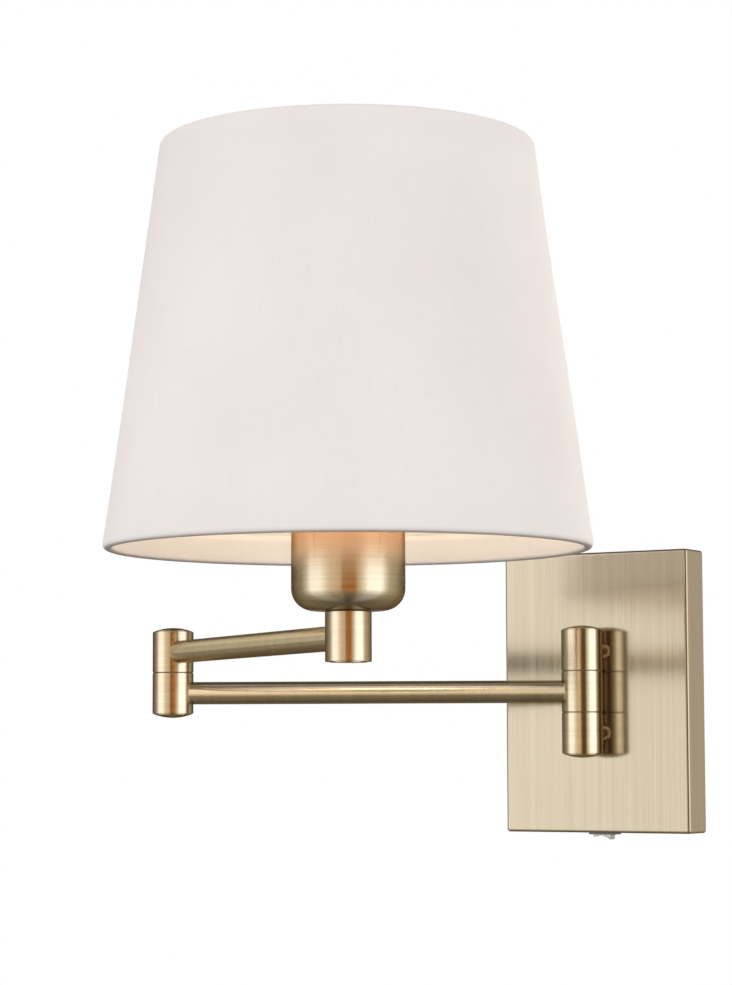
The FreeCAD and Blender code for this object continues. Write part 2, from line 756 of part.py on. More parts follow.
def knuckle(name, low, top, recess_at=None):
    """A turned knuckle; recess_at says which end holds the nut and the cap's spigot."""
    edge = "knuckle_edge"
    corners = [
        ("hole_radius", low),
        (f"knuckle_radius - {edge}", low),
        ("knuckle_radius", f"{low} + {edge}"),
        ("knuckle_radius", f"{top} - {edge}"),
        (f"knuckle_radius - {edge}", top),
        ("hole_radius", top),
    ]
    if recess_at == "top":
        floor = f"{top} - recess_depth"
        corners[-1:] = [("recess_radius", top), ("recess_radius", floor), ("hole_radius", floor)]
    if recess_at == "low":
        floor = f"{low} + recess_depth"
        corners[:1] = [("hole_radius", floor), ("recess_radius", floor), ("recess_radius", low)]
    return turned(name, corners)


def side_hole(radius, z):
    """A tool for a hole from the axis out along +X."""
    return cylinder(radius, "knuckle_radius + 5", "0", "0", z, TO_X)


def hinge_tube(name, low, top):
    return ring(name, "pin_bore", "pin_radius", low, top)


def window(z, first, span):
    """A tool for a window round part of a hinge tube, from the angle first over the angle span."""
    sector = cylinder("2 * pin_radius", "window_height", "0", "0", f"{z} - window_height / 2", sector=span)
    sector.Placement = FreeCAD.Placement(
        sector.Placement.Base, FreeCAD.Rotation(FreeCAD.Vector(0, 0, 1), 1)
    )
    sector.setExpression("Placement.Rotation.Angle", bound(first))
    return sector


def make_pivot():
    """The wall hinge: necks on the plate, two fixed knuckles, hollow tube, nuts, caps, washers."""
    top = knuckle("PivotTop", "upper_low", "stack_top", "top")
    low = knuckle("PivotLow", "-stack_top", "-upper_low", "low")
    to_wall = FreeCAD.Rotation(FreeCAD.Vector(1, 0, 0), -90)
    for body, label, z in (
        (top, "pivot_knuckle_top", "knuckle_pitch"),
        (low, "pivot_knuckle_low", "-knuckle_pitch"),
    ):
        hole = cylinder("neck_bore", "knuckle_radius + 5", "0", "0", z, to_wall)
        subpart(without(body, [hole]), label, "pivot")
    necks, nuts, washers = [], [], []
    wall_y = "(pivot_standoff + plate_wall)"
    for sign in ("", "-"):
        z = sign + "knuckle_pitch"
        neck = cylinder("neck_radius", "pivot_standoff", "0", "0", z, to_wall)
        stud = cylinder("neck_stud_radius", f"{wall_y} + neck_stud_reach", "0", "0", z, to_wall)
        bore = cylinder("neck_bore", f"{wall_y} + neck_stud_reach + 2", "0", "-1", z, to_wall)
        saddle = cylinder("knuckle_radius", "4 * neck_radius", "0", "0", f"{z} - 2 * neck_radius")
        necks.append(without(fused([neck, stud]), [bore, saddle]))
        washer = ring("NeckWasher", "neck_stud_radius + pin_clear", "neck_stud_radius + neck_washer_wide",
                      "0", "neck_washer_thick")
        washers.append(moved(washer, "0", wall_y, z, to_wall))
        nut = hexagon_nut("NeckNut", "neck_washer_thick", "neck_nut_thick", "nut_flats", "neck_stud_radius")
        nuts.append(moved(nut, "0", wall_y, z, to_wall))
    subpart(group(necks), "pivot_necks", "pivot")
    subpart(group(nuts), "neck_nuts", "pivot")
    subpart(group(washers), "neck_washers", "pivot")
    reach = "(stack_top - recess_depth + nut_thick)"
    tube = hinge_tube("PivotTube", f"-{reach}", reach)
    swing = "(base_angle_most - base_angle_least + 2 * window_margin)"
    inlet = cylinder("neck_bore", "2 * pin_radius", "0", "0", "knuckle_pitch", to_wall)
    subpart(
        without(tube, [window("0", "180 + base_angle_least - window_margin", swing), inlet]),
        "pivot_tube", "pivot",
    )
    nuts = [
        hexagon_nut("PivotNut", low, "nut_thick", "nut_flats", "pin_radius")
        for low in ("stack_top - recess_depth", "-stack_top + recess_depth - nut_thick")
    ]
    subpart(group(nuts), "pivot_nuts", "pivot")
    washer_radius = "knuckle_radius - seam_inset"
    washers = [
        ring("PivotWasher", "hole_radius", washer_radius, low, top)
        for low, top in (("half_knuckle", "upper_low"), ("-upper_low", "-half_knuckle"))
    ]
    subpart(group(washers), "pivot_washers", "pivot")
    caps = [moved(dome_cap(), z="stack_top"), moved(dome_cap(), z="-stack_top", turn=DOWN)]
    subpart(group(caps), "pivot_caps", "pivot")


def arm_tube(near_radius, far_radius, z):
    """A tube from one knuckle's side to the next one's, saddled on both."""
    tube = cylinder("arm_radius", "arm_length", "0", "0", z, TO_X)
    bore = cylinder("arm_bore", "arm_length + 2", "-1", "0", z, TO_X)
    near = cylinder(near_radius, "4 * arm_radius", "0", "0", f"{z} - 2 * arm_radius")
    far = cylinder(far_radius, "4 * arm_radius", "arm_length", "0", f"{z} - 2 * arm_radius")
    return without(tube, [bore, near, far])


def make_lower_arm():
    middle = knuckle("MiddleKnuckle", "-half_knuckle", "half_knuckle")
    subpart(without(middle, [side_hole("arm_bore", "0")]), "lower_arm_knuckle", "lower")
    subpart(arm_tube("knuckle_radius", "knuckle_radius", "0"), "lower_arm_tube", "lower")
    low = knuckle("ElbowLow", "elbow_low", "half_knuckle", "low")
    subpart(without(low, [side_hole("arm_bore", "0")]), "elbow_knuckle_low", "elbow_back")
    low_nut, top_nut = "elbow_low + recess_depth - nut_thick", "stack_top - recess_depth"
    tube = hinge_tube("ElbowTube", low_nut, f"{top_nut} + nut_thick")
    inlet = side_hole("arm_bore - 0.6", "0")
    swing = "(elbow_angle_most - elbow_angle_least + 2 * window_margin)"
    outlet = window("knuckle_pitch", "-elbow_angle_most - window_margin", swing)
    subpart(without(tube, [inlet, outlet]), "elbow_tube", "elbow_back")
    lift = "2 * pin_clear"
    nuts = [
        hexagon_nut("ElbowNut", f"{top_nut} + {lift}", f"nut_thick - {lift}", "nut_flats", "pin_radius"),
        hexagon_nut("ElbowNut", low_nut, "nut_thick", "nut_flats", "pin_radius"),
    ]
    subpart(group(nuts), "elbow_nuts", "elbow_back")
    washer = ring("ElbowWasher", "hole_radius", "knuckle_radius - seam_inset", "half_knuckle", "upper_low")
    subpart(group([washer]), "elbow_washer", "elbow_back")
    cap = moved(dome_cap(), z="elbow_low", turn=DOWN)
    subpart(group([cap]), "elbow_cap_low", "elbow_back")
    s = SIZE
    joint, end = s["knuckle_pitch"] / 2, s["window_height"] / 2 + 0.2
    bent_tube("lower_arm_wire", [
        (0, 0, end), (0, 0, 0), (s["arm_length"], 0, 0), (s["arm_length"], 0, joint),
    ], "lower")


def make_upper_arm():
    top = knuckle("ElbowTop", "upper_low", "stack_top", "top")
    subpart(without(top, [side_hole("arm_bore", "knuckle_pitch")]), "elbow_knuckle_top", "upper")
    subpart(group([moved(dome_cap(), z="stack_top")]), "elbow_cap_top", "upper")
    subpart(arm_tube("knuckle_radius", "column_radius", "knuckle_pitch"), "upper_arm_tube", "upper")
    s = SIZE
    level = s["knuckle_pitch"]
    holder_floor = level + s["column_above"] + s["cup_seam"] + s["cup_wall"] + s["holder_floor"]
    core_low = holder_floor + s["core_rise"]
    bent_tube("upper_arm_wire", [
        (0, 0, level / 2 + 0.6),
        (0, 0, level),
        (s["arm_length"], 0, level),
        (s["arm_length"], 0, core_low - 0.3),
    ], "upper")


def make_column():
    edge = "knuckle_edge"
    bore = "(nipple_radius + pin_clear)"
    column = turned("Column", [
        (bore, "column_low + recess_depth"),
        ("recess_radius", "column_low + recess_depth"),
        ("recess_radius", "column_low"),
        (f"column_radius - {edge}", "column_low"),
        ("column_radius", f"column_low + {edge}"),
        ("column_radius", f"column_top - {edge}"),
        (f"column_radius - {edge}", "column_top"),
        (bore, "column_top"),
    ])
    subpart(without(column, [side_hole("arm_bore", "knuckle_pitch")]), "column", "column_back")
    nut = hexagon_nut("ColumnNut", "column_low + recess_depth - nut_thick", "nut_thick", "nut_flats",
                      "nipple_radius")
    subpart(group([nut]), "column_nut", "column_back")
    plug = turned("ColumnPlug", [
        ("0", "plug_low"), ("spigot_radius", "plug_low"),
        ("spigot_radius", "plug_low + plug_thick"), ("0", "plug_low + plug_thick"),
    ])
    subpart(group([plug]), "column_plug", "column_back")
    nipple = ring("Nipple", "nipple_bore", "nipple_radius", "column_low + recess_depth - nut_thick",
                  "holder_low + nipple_above")
    hole = side_hole("arm_bore - 0.6", "knuckle_pitch")
    subpart(without(nipple, [hole]), "column_nipple", "column_back")
    washer = ring("CupWasher", "nipple_radius + pin_clear", "column_radius - cup_seam_inset",
                  "column_top", "cup_low")
    subpart(group([washer]), "cup_washer", "column_back")


def make_cup():
    cup = turned("Cup", [
        ("nipple_radius + pin_clear", "cup_low"),
        ("cup_radius", "cup_low"),
        ("cup_radius", "cup_top"),
        ("cup_radius - cup_wall", "cup_top"),
        ("cup_radius - cup_wall", "cup_low + cup_wall"),
        ("nipple_radius + pin_clear", "cup_low + cup_wall"),
    ])
    outer, inner = SIZE["cup_radius"], SIZE["cup_radius"] - SIZE["cup_wall"]
    middle = cup.Shape.BoundBox.Center.z

    def corner(edge, radius):
        curve = getattr(edge, "Curve", None)
        is_ring = isinstance(curve, Part.Circle) and abs(curve.Radius - radius) < 1e-6
        return is_ring and edge.BoundBox.ZMax < middle

    round_edges(cup, lambda edge: corner(edge, outer), "cup_round")
    round_edges(cup, lambda edge: corner(edge, inner), "cup_round - cup_wall")
    subpart(group([cup]), "cup", "column")


def make_lampholder():
    bore = "(nipple_radius + pin_clear)"
    inside = "(holder_radius - holder_wall)"
    shell = turned("HolderShell", [
        (bore, "holder_low"),
        ("holder_radius - holder_bevel", "holder_low"),
        ("holder_radius", "holder_low + holder_bevel"),
        ("holder_radius", "collar_low"),
        ("holder_collar_radius", "collar_low"),
        ("holder_collar_radius", "holder_top"),
        (f"{inside} + holder_mouth", "holder_top"),
        (inside, "holder_top - holder_mouth_depth"),
        (inside, "holder_low + holder_floor"),
        (bore, "holder_low + holder_floor"),
    ])
    subpart(group([shell]), "lampholder_shell", "column")
    core = ring("HolderCore", "core_bore", f"{inside} - core_play", "core_low", "core_top")
    subpart(group([core]), "lampholder_core", "column")
    screw = ring("ScrewShell", "shell_radius - shell_thick", "shell_radius", "core_top", "shell_top")
    subpart(group([screw]), "lampholder_thread", "column")
    contact = cylinder("contact_radius", "contact_height / 2", "0", "0", "core_top")
    stem = cylinder("core_bore - pin_clear", "core_height - 1", "0", "0", "core_low + 1")
    subpart(fused([contact, stem]), "centre_contact", "column")


def make_bulb():
    tip = cylinder("bulb_tip_radius", "bulb_tip_height", "0", "0", "bulb_low")
    subpart(group([tip]), "bulb_contact", "column")
    cap = turned("BulbCap", [
        ("0", "bulb_cap_low"),
        ("bulb_cap_foot", "bulb_cap_low"),
        ("bulb_cap_radius", "bulb_cap_low + bulb_cap_bevel"),
        ("bulb_cap_radius", "bulb_cap_top"),
        ("0", "bulb_cap_top"),
    ])
    subpart(group([cap]), "bulb_cap", "column")

    def envelope(inset):
        ball = doc.addObject("Part::Sphere", "Ball")
        bind(ball, Radius=f"bulb_radius - {inset}", Base_z="bulb_centre")
        neck = doc.addObject("Part::Cone", "Neck")
        bind(
            neck,
            Radius1=f"bulb_neck_radius - {inset}", Radius2=f"0.87 * bulb_radius - {inset}",
            Height="bulb_centre - bulb_radius / 2 - bulb_cap_top", Base_z="bulb_cap_top",
        )
        return fused([ball, neck])

    subpart(without(envelope("0"), [envelope("bulb_glass")]), "bulb_glass", "column")


# Shade


def slant(low, inset):
    """The radius of a point inset from the shade's outer cone, at a height above its bottom."""
    return f"(shade_radius_low - shade_slope * ({low}) - ({inset}))"


def make_shade():
    fitter = ring("Fitter", "fitter_hole", "fitter_radius", "cup_top", "fitter_top")
    subpart(group([fitter]), "fitter_ring", "column")
    nut = ring("RingNut", "holder_collar_radius + pin_clear", "ring_nut_radius", "fitter_top",
               "fitter_top + ring_nut_height")
    subpart(group([nut]), "shade_ring_nut", "column")
    make_spokes()
    for label, radius, z in (
        ("shade_wire_low", "low_ring_radius", "low_ring_z"),
        ("shade_wire_top", "top_ring_radius", "top_ring_z"),
    ):
        wire = doc.addObject("Part::Torus", "RingWire")
        bind(wire, Radius1=radius, Radius2="ring_wire_radius", Base_z=z)
        subpart(group([wire]), label, "column")
    height = "shade_height"
    skin = turned("Cloth", [
        ("shade_radius_low", "shade_low"),
        ("shade_radius_top", "shade_top"),
        ("shade_radius_top - hem_width", "shade_top"),
        (slant(f"{height} - hem_depth", "hem_width"), "shade_top - hem_depth"),
        (slant(f"{height} - hem_depth", "hem_width - cloth"), "shade_top - hem_depth"),
        ("shade_radius_top - hem_width + cloth", "shade_top - cloth"),
        (slant(f"{height} - cloth", "cloth"), "shade_top - cloth"),
        (slant("cloth", "cloth"), "shade_low + cloth"),
        (slant("cloth", "hem_width - cloth"), "shade_low + cloth"),
        (slant("hem_depth", "hem_width - cloth"), "shade_low + hem_depth"),
        (slant("hem_depth", "hem_width"), "shade_low + hem_depth"),
        (slant("0", "hem_width"), "shade_low"),
    ])
    notches = []
    for k in range(3):
        notch = box("low_ring_radius - hem_width", "-spoke_radius - notch_gap",
                    "low_ring_z - spoke_radius - notch_gap",
                    "hem_width", "2 * (spoke_radius + notch_gap)", "hem_depth")
        notches.append(moved(group([notch]), turn=FreeCAD.Rotation(FreeCAD.Vector(0, 0, 1), 120 * k)))
    subpart(without(skin, notches), "shade_cloth", "column")
    start, end = "hem_depth + liner_margin", "shade_height - hem_depth - liner_margin"
    outside, inside = "cloth + liner_gap", "cloth + liner_gap + liner_thick"
    liner = turned("Liner", [
        (slant(start, outside), f"shade_low + {start}"),
        (slant(end, outside), f"shade_low + {end}"),
        (slant(end, inside), f"shade_low + {end}"),
        (slant(start, inside), f"shade_low + {start}"),
    ])
    subpart(group([liner]), "shade_liner", "column")


def make_spokes():
    """Three rods from the fitter ring down to the low ring, as straight runs in one welded piece."""
    s = SIZE
    cup_top = s["knuckle_pitch"] + s["column_above"] + s["cup_seam"] + s["cup_height"]
    inner_z = cup_top + s["fitter_thick"] / 2
    rise = s["cloth"] + s["ring_wire_radius"] + s["hem_play"] / 2
    outer_z = cup_top - s["shade_overlap"] + rise
    slope = (s["shade_radius_low"] - s["shade_radius_top"]) / s["shade_height"]
    hem_width = 2 * (s["ring_wire_radius"] + s["cloth"]) + s["hem_play"]
    ring_radius = s["shade_radius_low"] - slope * rise - hem_width / 2
    fitter_radius = s["cup_radius"] + s["fitter_overhang"]
    start_x = fitter_radius - 1
    run = FreeCAD.Vector(ring_radius - start_x, 0, outer_z - inner_z)
    rod = Part.makeCylinder(s["spoke_radius"], run.Length, FreeCAD.Vector(start_x, 0, inner_z), run)
    wire = Part.makeTorus(
        ring_radius, s["ring_wire_radius"], FreeCAD.Vector(0, 0, outer_z), FreeCAD.Vector(0, 0, 1)
    )
    fitter = Part.makeCylinder(fitter_radius, s["fitter_thick"], FreeCAD.Vector(0, 0, cup_top))
    rod = rod.cut(wire).cut(fitter)
    solid = max(rod.Solids, key=lambda part: part.Volume)
    spokes = []
    for k in range(3):
        spoke = solid.copy()
        spoke.rotate(FreeCAD.Vector(), FreeCAD.Vector(0, 0, 1), 120 * k)
        spokes.append(spoke)
    feature = doc.addObject("Part::Feature", "Spokes")
    feature.Shape = Part.makeCompound(spokes)
    subpart(feature, "shade_spokes", "column")


make_backplate()
make_wall_bracket()
make_tray_fittings()
make_connections()
make_tray_wires()
make_switch()
make_pivot()
make_lower_arm()
make_upper_arm()
make_column()
make_cup()
make_lampholder()
make_bulb()
make_shade()
doc.recompute()

faults = [obj.Name for obj in doc.Objects if {"Invalid", "Error"} & set(obj.State)]
faults += [obj.Label for obj in subparts if obj.Shape.isNull() or not obj.Shape.isValid()]
if faults:
    raise RuntimeError(f"these didn't build: {faults}")

os.makedirs("parts", exist_ok=True)
for obj in subparts:
    solids = obj.Shape.Solids
    print(f"{obj.Label}: {len(solids)} solids, {sum(part.Volume for part in solids):.1f} mm3")
    obj.Shape.exportStep(f"parts/{obj.Label}.step")
print(len(subparts), "sub-parts")
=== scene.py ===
import json
import math

import bmesh
import bpy
from mathutils import Matrix, Vector, noise


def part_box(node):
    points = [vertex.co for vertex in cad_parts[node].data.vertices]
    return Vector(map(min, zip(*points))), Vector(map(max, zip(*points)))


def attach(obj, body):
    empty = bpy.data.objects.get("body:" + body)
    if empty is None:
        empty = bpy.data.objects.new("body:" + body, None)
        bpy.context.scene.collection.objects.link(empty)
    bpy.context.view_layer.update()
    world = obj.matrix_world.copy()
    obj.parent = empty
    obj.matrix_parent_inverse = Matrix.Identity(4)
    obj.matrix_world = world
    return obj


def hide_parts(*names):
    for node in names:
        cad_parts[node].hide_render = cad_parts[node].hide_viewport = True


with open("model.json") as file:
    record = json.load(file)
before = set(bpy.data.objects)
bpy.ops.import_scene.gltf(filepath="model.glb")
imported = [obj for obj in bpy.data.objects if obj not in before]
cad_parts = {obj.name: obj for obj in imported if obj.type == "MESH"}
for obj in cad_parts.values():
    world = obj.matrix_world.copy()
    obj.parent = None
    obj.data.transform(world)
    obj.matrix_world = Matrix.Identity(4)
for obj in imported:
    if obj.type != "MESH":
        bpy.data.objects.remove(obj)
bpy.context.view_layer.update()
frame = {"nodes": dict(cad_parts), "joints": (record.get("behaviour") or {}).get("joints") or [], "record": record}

NODES = frame["nodes"]
JOINTS = {joint["name"]: joint for joint in frame["joints"]}


def middle(node):
    low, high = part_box(node)
    return (low + high) / 2


PIVOT = Vector(JOINTS["base_swing"]["pos_m"])
ELBOW = Vector(JOINTS["elbow_swing"]["pos_m"])
COLUMN = middle("cup_washer")
LOWER_WAY = (ELBOW - PIVOT).normalized()
UPPER_WAY = (Vector((COLUMN.x, COLUMN.y, 0)) - ELBOW).normalized()


# Camera: the place and lens that give the photograph's perspective


def make_camera():
    lens_px, long_side, sensor = 2810.5, 985, 36.0
    yaw, pitch, roll = (math.radians(a) for a in (31.662, 5.266, -0.172))
    back, left, below = 1.32335, 0.11511, 0.02725
    ahead = Vector((-math.sin(yaw), math.cos(yaw), 0))
    across = Vector((math.cos(yaw), math.sin(yaw), 0))
    data = bpy.data.cameras.new("camera")
    data.sensor_width = sensor
    data.lens = lens_px * sensor / long_side
    data.clip_start, data.clip_end = 0.05, 60
    camera = bpy.data.objects.new("camera", data)
    bpy.context.scene.collection.objects.link(camera)
    forward = ahead * math.cos(pitch) + Vector((0, 0, math.sin(pitch)))
    up = across.cross(forward)
    right = across * math.cos(roll) + up * math.sin(roll)
    up = up * math.cos(roll) - across * math.sin(roll)
    turn = Matrix((right, up, -forward)).transposed().to_4x4()
    place = ahead * -back + across * -left + Vector((0, 0, -below))
    camera.matrix_world = Matrix.Translation(place) @ turn
    bpy.context.scene.camera = camera


# Materials


class Nodes:
    """Short ways to build a node tree."""

    def __init__(self, tree):
        self.tree = tree
        tree.nodes.clear()

    def node(self, kind, **settings):
        made = self.tree.nodes.new(kind)
        for name, value in settings.items():
            setattr(made, name, value)
        return made

    def link(self, source, target):
        self.tree.links.new(source, target)

    def feed(self, socket, value):
        """Gives a socket a constant or another node's output."""
        if isinstance(value, bpy.types.NodeSocket):
            self.link(value, socket)
        elif isinstance(value, (tuple, list, Vector)) and len(socket.default_value) == 4:
            socket.default_value = (*value[:3], 1)
        else:
            socket.default_value = value

    def placed(self, vector, centre=(0, 0, 0), turn=0.0, scale=(1, 1, 1)):
        """The point measured from centre, turned about Z so that X runs along turn, then stretched."""
        shift = self.node("ShaderNodeVectorMath", operation="SUBTRACT")
        self.link(vector, shift.inputs[0])
        shift.inputs[1].default_value = centre
        rotate = self.node("ShaderNodeVectorRotate", rotation_type="Z_AXIS")
        self.link(shift.outputs[0], rotate.inputs["Vector"])
        rotate.inputs["Angle"].default_value = -turn
        stretch = self.node("ShaderNodeVectorMath", operation="MULTIPLY")
        self.link(rotate.outputs[0], stretch.inputs[0])
        stretch.inputs[1].default_value = scale
        return stretch.outputs[0]

    def noise(self, vector, scale, detail=2.0, rough=0.55):
        made = self.node("ShaderNodeTexNoise")
        self.link(vector, made.inputs["Vector"])
        made.inputs["Scale"].default_value = scale
        made.inputs["Detail"].default_value = detail
        made.inputs["Roughness"].default_value = rough
        return made.outputs["Fac"]

    def math(self, operation, a, b=0.0, c=0.0):
        made = self.node("ShaderNodeMath", operation=operation)
        for socket, value in zip(made.inputs, (a, b, c)):
            self.feed(socket, value)
        return made.outputs[0]

    def ramp(self, value, stops):
        made = self.node("ShaderNodeValToRGB")
        self.link(value, made.inputs[0])
        marks = made.color_ramp.elements
        while len(marks) < len(stops):
            marks.new(0.5)
        for mark, (place, colour) in zip(marks, stops):
            mark.position = place
            mark.color = (*colour, 1)
        return made.outputs["Color"]

    def span(self, value, low, high):
        """A value from 0 to 1 taken to low to high."""
        made = self.node("ShaderNodeMapRange")
        self.link(value, made.inputs["Value"])
        made.inputs["To Min"].default_value = low
        made.inputs["To Max"].default_value = high
        return made.outputs[0]

    def bump(self, height, strength, distance):
        made = self.node("ShaderNodeBump")
        made.inputs["Strength"].default_value = strength
        made.inputs["Distance"].default_value = distance
        self.link(height, made.inputs["Height"])
        return made.outputs[0]

    def background(self, colour, strength):
        made = self.node("ShaderNodeBackground")
        self.feed(made.inputs["Color"], colour)
        self.feed(made.inputs["Strength"], strength)
        return made.outputs[0]

    def mix(self, share, first, second):
        """Two shaders in one: share 0 is the first, 1 the second."""
        made = self.node("ShaderNodeMixShader")
        self.feed(made.inputs[0], share)
        self.link(first, made.inputs[1])
        self.link(second, made.inputs[2])
        return made.outputs[0]


class Paint(Nodes):
    """One node material round a Principled shader."""

    def __init__(self, name):
        self.material = bpy.data.materials.new(name)
        self.material.use_nodes = True
        super().__init__(self.material.node_tree)
        self.out = self.node("ShaderNodeOutputMaterial")
        self.shader = self.node("ShaderNodeBsdfPrincipled")
        self.link(self.shader.outputs[0], self.out.inputs["Surface"])

    def set(self, socket, value):
        self.feed(self.shader.inputs[socket], value)

    def spots(self):
        """The point on the piece, in the lamp's own frame at rest."""
        return self.node("ShaderNodeTexCoord").outputs["Object"]

    def let_through(self, share, colour, normal=None):
        """Lets a share of the light come through from behind, as thin cloth does."""
        glow = self.node("ShaderNodeBsdfTranslucent")
        self.link(colour, glow.inputs["Color"])
        if normal:
            self.link(normal, glow.inputs["Normal"])
        self.link(self.mix(share, self.shader.outputs[0], glow.outputs[0]), self.out.inputs["Surface"])

    def painted_light_band(self, colour, low, high, tint):
        """A colour multiplied by a tint that comes in between two heights: painted light or shade."""
        parts = self.node("ShaderNodeSeparateXYZ")
        self.link(self.spots(), parts.inputs[0])
        share = self.node("ShaderNodeMapRange", interpolation_type="SMOOTHSTEP")
        self.link(parts.outputs[2], share.inputs["Value"])
        share.inputs["From Min"].default_value = low
        share.inputs["From Max"].default_value = high
        blend = self.node("ShaderNodeMix", data_type="RGBA", blend_type="MULTIPLY")
        self.link(share.outputs[0], blend.inputs[0])
        self.link(colour, blend.inputs[6])
        blend.inputs[7].default_value = (*tint, 1)
        return blend.outputs[2]

    def tangent(self, way):
        """Stretches highlights along a direction of the piece's own frame."""
        held = self.node("ShaderNodeVectorTransform", vector_type="VECTOR")
        held.convert_from, held.convert_to = "OBJECT", "WORLD"
        held.inputs[0].default_value = way
        self.link(held.outputs[0], self.shader.inputs["Tangent"])


BRASS_LIGHT = Vector((0.78, 0.69, 0.545))
BRASS_DEEP = Vector((0.63, 0.54, 0.40))


def brushed_brass(name, tangent, centre=(0, 0, 0), turn=0.0, grain=(1, 1, 1), rough=0.24, uneven=0.5,
                  stretch=0.6, tone=1.0, painted_reflection=None, edge=(0.34, 0.29, 0.21)):
    """Lacquered antique brass. grain is how fast the brushing changes along each axis, per metre."""
    paint = Paint(name)
    spots = paint.spots()
    fine = paint.noise(paint.placed(spots, centre, turn, grain), 1.0, 4.0, 0.65)
    coarse_grain = tuple(g / 7 for g in grain)
    coarse = paint.noise(paint.placed(spots, centre, turn, coarse_grain), 1.0, 2.0)
    bands = paint.noise(paint.placed(spots, centre, turn, tuple(g / 40 for g in grain)), 1.0, 2.0)
    cloud = paint.math("MULTIPLY_ADD", paint.noise(spots, 19.0, 3.0), 0.5, paint.math("MULTIPLY", bands, 0.5))
    streaks = paint.math("MULTIPLY_ADD", fine, 0.55, paint.math("MULTIPLY", coarse, 0.45))
    shade = paint.math("MULTIPLY_ADD", streaks, uneven, paint.math("MULTIPLY", cloud, 1 - uneven))
    colour = paint.ramp(shade, [(0.34, tuple(BRASS_DEEP * tone)), (0.66, tuple(BRASS_LIGHT * tone))])
    # An optional tint between two heights paints a reflection onto the brass.
    if painted_reflection:
        colour = paint.painted_light_band(colour, *painted_reflection)
    paint.set("Base Color", colour)
    paint.set("Metallic", 1.0)
    paint.set("Roughness", paint.span(streaks, rough - 0.05, rough + 0.07))
    paint.set("Specular Tint", edge)
    paint.set("Anisotropic", stretch)
    paint.set("Normal", paint.bump(fine, 0.10, 0.00004))
    paint.tangent(tangent)
    return paint.material


def plain_metal(name, colour, rough, metallic=1.0, scale=180.0):
    paint = Paint(name)
    spots = paint.spots()
    wear = paint.noise(spots, scale, 4.0)
    dark = tuple(c * 0.82 for c in colour)
    paint.set("Base Color", paint.ramp(wear, [(0.3, dark), (0.7, colour)]))
    paint.set("Metallic", metallic)
    paint.set("Roughness", paint.span(wear, rough - 0.06, rough + 0.08))
    paint.set("Normal", paint.bump(paint.noise(spots, scale * 8, 2.0), 0.08, 0.00003))
    return paint.material


def moulded(name, colour, rough, clear=0.0):
    """Plastic, rubber or glazed ceramic with a faint texture."""
    paint = Paint(name)
    spots = paint.spots()
    cloud = paint.noise(spots, 60.0, 3.0)
    dark = tuple(c * 0.94 for c in colour)
    paint.set("Base Color", paint.ramp(cloud, [(0.3, dark), (0.7, colour)]))
    paint.set("Roughness", paint.span(cloud, rough - 0.03, rough + 0.05))
    paint.set("Transmission Weight", clear)
    paint.set("Normal", paint.bump(paint.noise(spots, 2600.0, 2.0), 0.06, 0.00003))
    return paint.material


def shade_cloth_material():
    """Fine off-white textile: threads round the cone and up it, with slubs, lit through a little."""
    paint = Paint("fine_textile")
    around, up = shade_coordinates(paint)
    threads = 0.00042
    warp = paint.math("SINE", paint.math("MULTIPLY", around, math.tau / threads))
    weft = paint.math("SINE", paint.math("MULTIPLY", up, math.tau / threads))
    weave = paint.math("MULTIPLY_ADD", warp, 0.25, paint.math("MULTIPLY_ADD", weft, 0.25, 0.5))
    pair = paint.node("ShaderNodeCombineXYZ")
    paint.link(around, pair.inputs[0])
    paint.link(up, pair.inputs[1])
    slub_round = paint.noise(paint.placed(pair.outputs[0], scale=(60, 1900, 1)), 1.0, 3.0)
    slub_up = paint.noise(paint.placed(pair.outputs[0], scale=(1900, 60, 1)), 1.0, 3.0)
    slubs = paint.math("MULTIPLY_ADD", slub_round, 0.5, paint.math("MULTIPLY", slub_up, 0.5))
    cloud = paint.noise(paint.spots(), 14.0, 2.0)
    tone = paint.math("MULTIPLY_ADD", slubs, 0.55, paint.math("MULTIPLY", cloud, 0.45))
    cloth = paint.ramp(tone, [(0.35, (0.865, 0.815, 0.795)), (0.65, (0.915, 0.875, 0.86))])
    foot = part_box("shade_cloth")[0].z
    # Painted shade: the cloth is darkened along its bottom edge, where the rolled hem's underside lies in shadow.
    colour = paint.painted_light_band(cloth, foot + 0.0013, foot + 0.0001, (0.52, 0.48, 0.43))
    paint.set("Base Color", colour)
    paint.set("Roughness", 0.9)
    paint.set("Specular IOR Level", 0.15)
    height = paint.math("MULTIPLY_ADD", weave, 0.5, paint.math("MULTIPLY", slubs, 0.8))
    normal = paint.bump(height, 0.22, 0.00012)
    paint.set("Normal", normal)
    paint.let_through(0.22, colour, normal)
    return paint.material


def shade_coordinates(paint):
    """Distance round the shade and height up it, in metres, at a point of the cloth."""
    mean_radius = 0.088
    centred = paint.placed(paint.spots(), (COLUMN.x, COLUMN.y, 0))
    parts = paint.node("ShaderNodeSeparateXYZ")
    paint.link(centred, parts.inputs[0])
    angle = paint.math("ARCTAN2", parts.outputs[1], parts.outputs[0])
    return paint.math("MULTIPLY", angle, mean_radius), parts.outputs[2]


def lining_material():
    paint = Paint("warm_lining")
    spots = paint.spots()
    cloud = paint.noise(spots, 20.0, 3.0)
    colour = paint.ramp(cloud, [(0.3, (0.94, 0.925, 0.90)), (0.7, (0.96, 0.95, 0.93))])
    paint.set("Base Color", colour)
    paint.set("Roughness", 0.55)
    paint.set("Normal", paint.bump(paint.noise(spots, 1500.0, 2.0), 0.08, 0.00005))
    paint.let_through(0.30, colour)
    return paint.material


def bulb_material():
    paint = Paint("opal_glass_lit")
    spots = paint.spots()
    cloud = paint.noise(spots, 30.0, 2.0)
    paint.set("Base Color", paint.ramp(cloud, [(0.3, (0.93, 0.90, 0.84)), (0.7, (0.96, 0.94, 0.89))]))
    paint.set("Roughness", 0.18)
    paint.set("Emission Color", (1.0, 0.83, 0.58))
    paint.set("Emission Strength", 6.6)
    return paint.material


